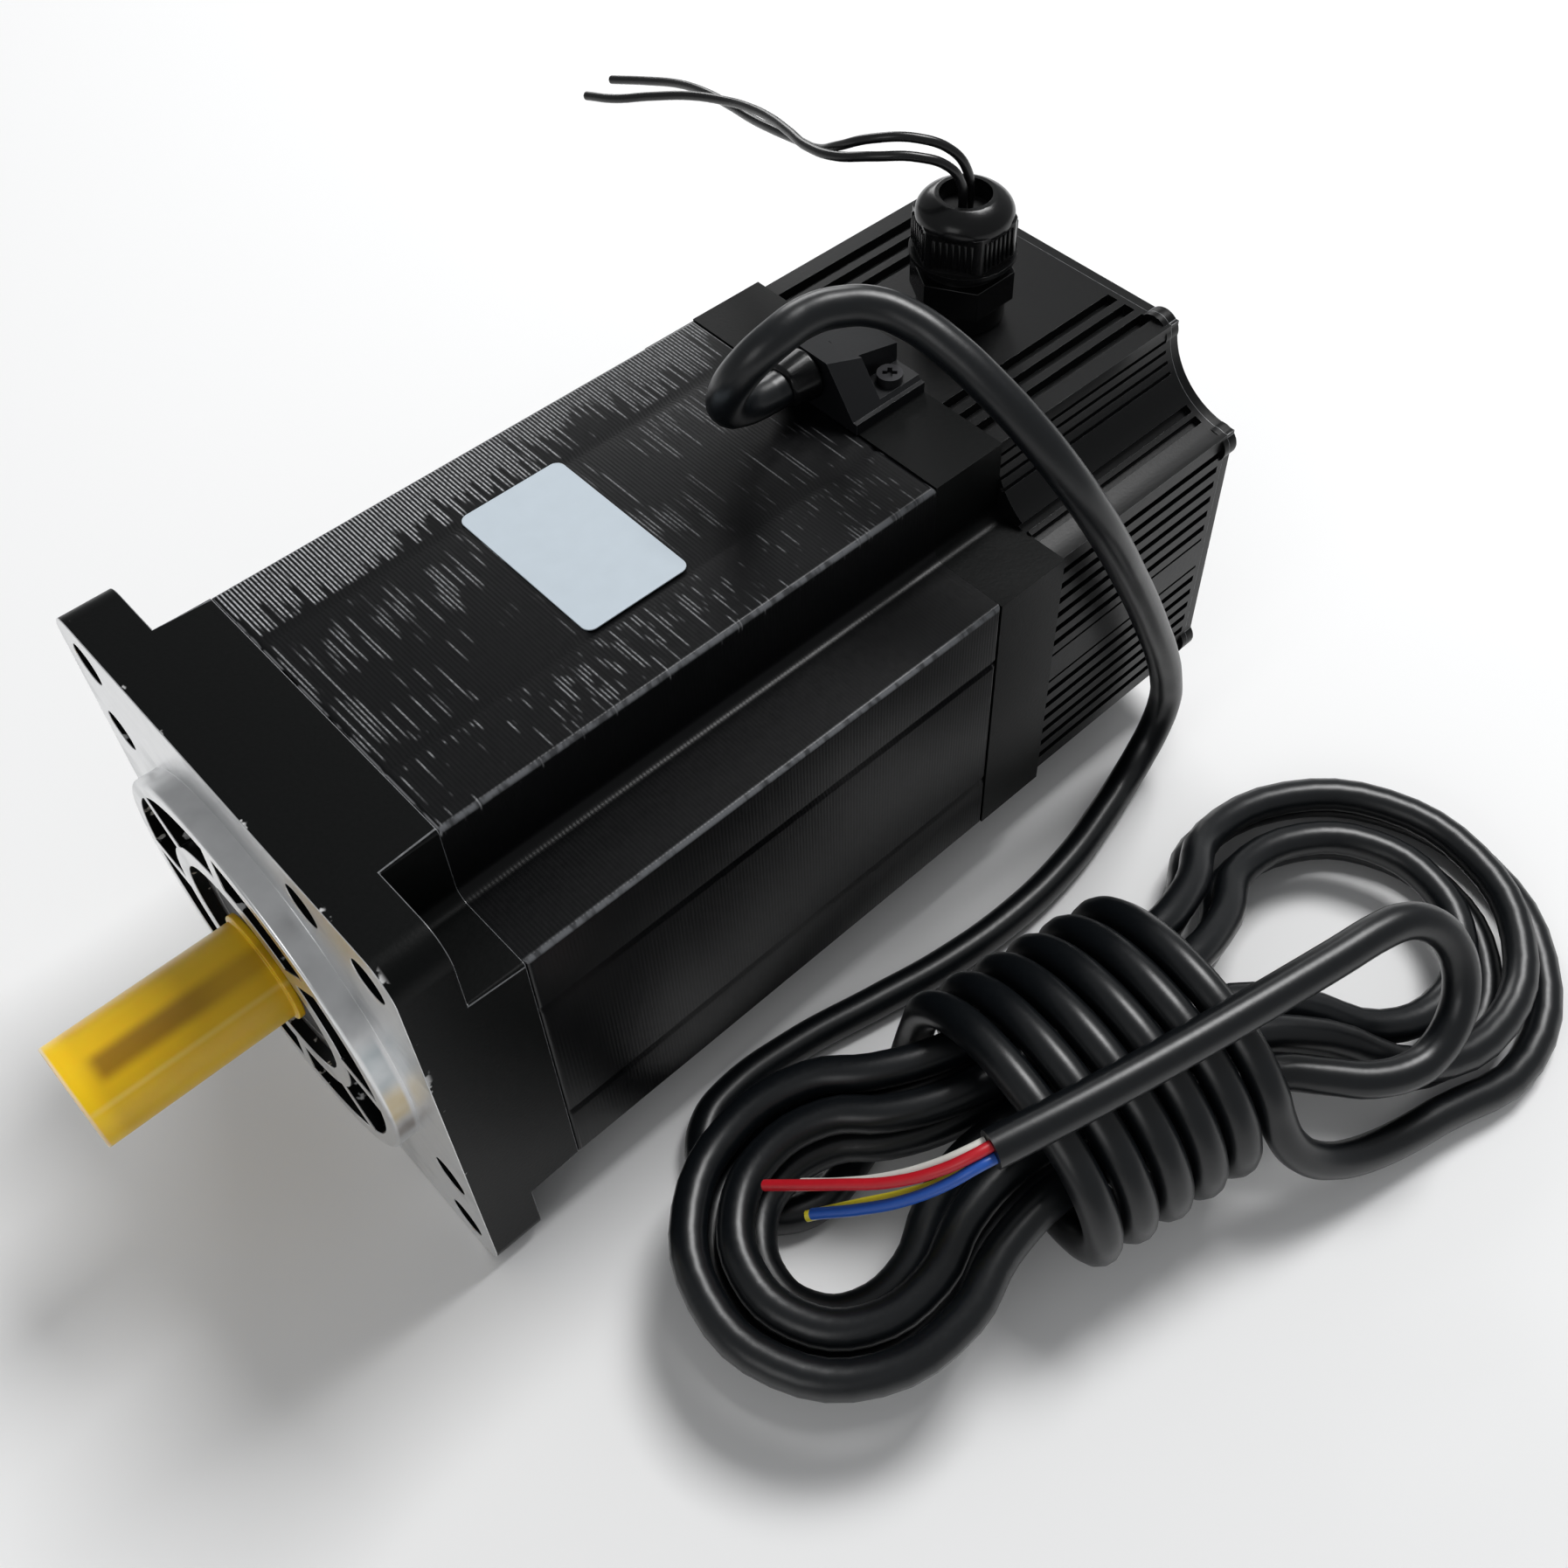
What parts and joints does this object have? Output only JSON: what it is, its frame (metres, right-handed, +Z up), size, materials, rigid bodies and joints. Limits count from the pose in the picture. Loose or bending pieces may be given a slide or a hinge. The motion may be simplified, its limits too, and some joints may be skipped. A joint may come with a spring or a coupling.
{
  "type": "stepper motor with brake",
  "caption": "Square flanged stepper motor with a finned brake housing behind it, a guarded shaft, a cable gland with two leads, and a hanked motor cable.",
  "frame": {"origin": "centre of the mounting flange's front face, on the shaft's axis", "axes": "+X out along the shaft, +Z up through the face that carries the gland and the cable outlet, +Y to the side where the cable comes down"},
  "size_m": [0.2692, 0.2873, 0.151],
  "materials": {
    "black_casting": "satin black paint on die-cast aluminium",
    "black_laminations": "thin black paint over steel laminations, their edges scraped bright",
    "copper_winding": "enamelled copper wire",
    "dark_steel": "black oxide",
    "bare_laminations": "bare electrical steel",
    "magnet": "dark magnet material",
    "ground_steel": "ground steel",
    "yellow_sleeve": "soft yellow plastic",
    "seal_steel": "pressed steel",
    "black_rubber": "moulded rubber",
    "bearing_steel": "polished bearing steel",
    "cage_brass": "pressed brass",
    "black_housing": "satin black paint on extruded aluminium",
    "brake_lining": "moulded friction lining",
    "magnet_steel": "plated steel",
    "gland_plastic": "black nylon",
    "outlet_plastic": "black moulded plastic",
    "label_paper": "blank pale sticker",
    "lead_jacket": "thin black insulation",
    "cable_jacket": "satin black cable jacket",
    "white_core": "white insulation",
    "red_core": "red insulation",
    "blue_core": "blue insulation",
    "yellow_core": "yellow insulation"
  },
  "bodies": {
    "motor": {"front_flange": "black_casting", "stator_core": "black_laminations", "stator_windings": "copper_winding", "rear_end_cap": "black_casting", "tie_bolts": "dark_steel", "oil_seal_case": "seal_steel", "oil_seal_lip": "black_rubber", "front_bearing_outer_ring": "bearing_steel", "rear_bearing_outer_ring": "bearing_steel", "wave_washer": "seal_steel", "brake_housing": "black_housing", "rear_cover": "black_housing", "housing_screws": "dark_steel", "brake_friction_plate": "seal_steel", "brake_magnet_body": "magnet_steel", "brake_coil": "copper_winding", "brake_springs": "bearing_steel", "brake_spacers": "ground_steel", "brake_screws": "dark_steel", "gland_collar": "gland_plastic", "gland_body": "gland_plastic", "gland_seal": "black_rubber", "gland_nut": "gland_plastic", "cable_outlet_cover": "outlet_plastic", "outlet_screws": "seal_steel", "strain_relief": "black_rubber", "label_plate": "label_paper", "brake_lead_a": "lead_jacket", "brake_lead_b": "lead_jacket", "motor_cable": "cable_jacket", "motor_cable_hank": "cable_jacket", "core_white": "white_core", "core_red": "red_core", "core_blue": "blue_core", "core_yellow": "yellow_core"},
    "rotor": {"rotor_front_stack": "bare_laminations", "rotor_magnet": "magnet", "rotor_rear_stack": "bare_laminations", "motor_shaft": "ground_steel", "front_bearing_inner_ring": "bearing_steel", "rear_bearing_inner_ring": "bearing_steel", "brake_disc": "brake_lining", "brake_hub": "ground_steel", "brake_hub_key": "ground_steel", "hub_retaining_ring": "dark_steel"},
    "sleeve": {"shaft_sleeve": "yellow_sleeve"},
    "front_ball_set": {"front_bearing_balls": "bearing_steel", "front_bearing_cage": "cage_brass"},
    "rear_ball_set": {"rear_bearing_balls": "bearing_steel", "rear_bearing_cage": "cage_brass"},
    "armature": {"brake_armature": "bare_laminations"}
  },
  "joints": [
    {"name": "shaft_spin", "type": "hinge", "parent": "motor", "child": "rotor", "pos_m": [0, 0, 0], "axis": [1, 0, 0], "continuous": true},
    {"name": "sleeve_pull", "type": "slide", "parent": "rotor", "child": "sleeve", "axis": [1, 0, 0], "range_m": [0, 0.045]},
    {"name": "front_balls_roll", "type": "hinge", "parent": "motor", "child": "front_ball_set", "pos_m": [-0.012, 0, 0], "axis": [1, 0, 0], "continuous": true},
    {"name": "rear_balls_roll", "type": "hinge", "parent": "motor", "child": "rear_ball_set", "pos_m": [-0.1455, 0, 0], "axis": [1, 0, 0], "continuous": true},
    {"name": "armature_lift", "type": "slide", "parent": "motor", "child": "armature", "axis": [-1, 0, 0], "range_m": [0, 0.0004], "stiffness_N_per_m": 2000, "springref_m": -0.004}
  ],
  "couplings": [
    {"joint": "front_balls_roll", "follows": "shaft_spin", "ratio": 0.3815},
    {"joint": "rear_balls_roll", "follows": "shaft_spin", "ratio": 0.3815}
  ]
}
